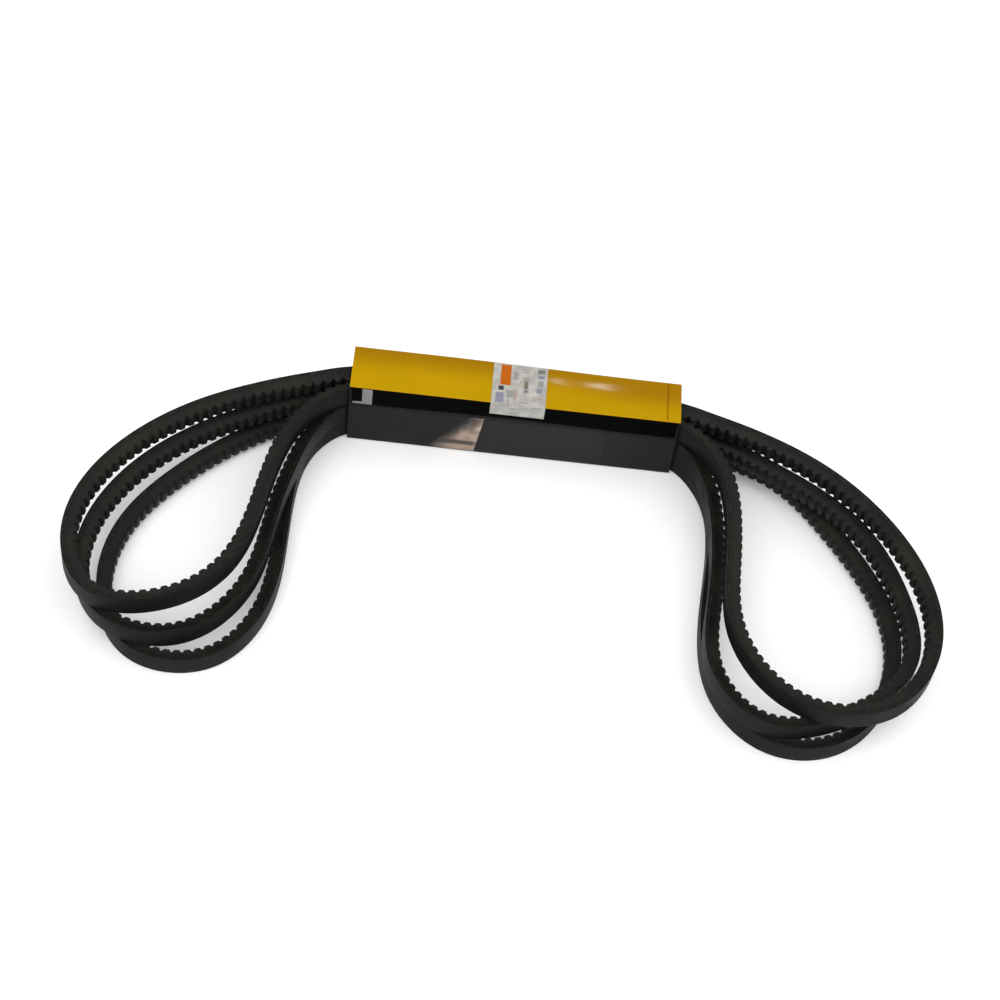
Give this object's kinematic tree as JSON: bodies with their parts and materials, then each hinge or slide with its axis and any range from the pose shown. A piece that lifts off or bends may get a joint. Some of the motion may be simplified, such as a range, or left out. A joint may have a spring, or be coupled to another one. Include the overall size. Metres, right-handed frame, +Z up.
{
  "type": "v belt",
  "caption": "Matched endless cogged V-belts lying on their flanks, threaded through an open-ended carton sleeve with a hinged lid and closure flap, and spreading into a loop at each end.",
  "frame": {"origin": "middle of the carton's underside, on the surface the set rests on", "axes": "+X along the carton, +Y towards the carton's back, +Z up; the belt loops spread towards -Y"},
  "size_m": [0.6073, 0.274, 0.0613],
  "materials": {
    "belt_top_cover_fabric": "matte",
    "belt_tensile_cord": "matte",
    "belt_cushion_rubber": "matte",
    "belt_cogged_rubber": "matte",
    "carton_yellow_board": "satin",
    "carton_black_board": "satin",
    "carton_grey_board": "satin",
    "carton_inner_board": "matte",
    "bare_board": "matte",
    "label_paper": "satin",
    "label_colour_ink": "satin",
    "printed_patch_ink": "matte"
  },
  "bodies": {
    "belts": {"lower_belt_top_cover": "belt_top_cover_fabric", "lower_belt_cord_ply": "belt_tensile_cord", "lower_belt_cushion_gum": "belt_cushion_rubber", "lower_belt_cogged_body": "belt_cogged_rubber", "middle_belt_top_cover": "belt_top_cover_fabric", "middle_belt_cord_ply": "belt_tensile_cord", "middle_belt_cushion_gum": "belt_cushion_rubber", "middle_belt_cogged_body": "belt_cogged_rubber", "upper_belt_top_cover": "belt_top_cover_fabric", "upper_belt_cord_ply": "belt_tensile_cord", "upper_belt_cushion_gum": "belt_cushion_rubber", "upper_belt_cogged_body": "belt_cogged_rubber"},
    "carton": {"carton_bottom_panel": "carton_inner_board", "carton_back_panel": "carton_black_board", "carton_front_panel": "carton_grey_board", "front_panel_printed_patch": "printed_patch_ink"},
    "lid": {"carton_lid_panel": "carton_yellow_board", "label_on_lid": "label_paper", "label_colour_block": "label_colour_ink"},
    "closure_flap": {"carton_closure_flap": "carton_black_board", "label_on_flap": "label_paper", "flap_bare_strip": "bare_board"}
  },
  "joints": [
    {"name": "carton_slide", "type": "slide", "parent": "belts", "child": "carton", "axis": [1, 0, 0], "range_m": [-0.002, 0.002]},
    {"name": "lid_hinge", "type": "hinge", "parent": "carton", "child": "lid", "pos_m": [0, 0.01875, 0.05935], "axis": [-1, 0, 0], "range_deg": [0, 120]},
    {"name": "closure_flap_hinge", "type": "hinge", "parent": "lid", "child": "closure_flap", "pos_m": [0, -0.01875, 0.05935], "axis": [-1, 0, 0], "range_deg": [0, 90]}
  ]
}
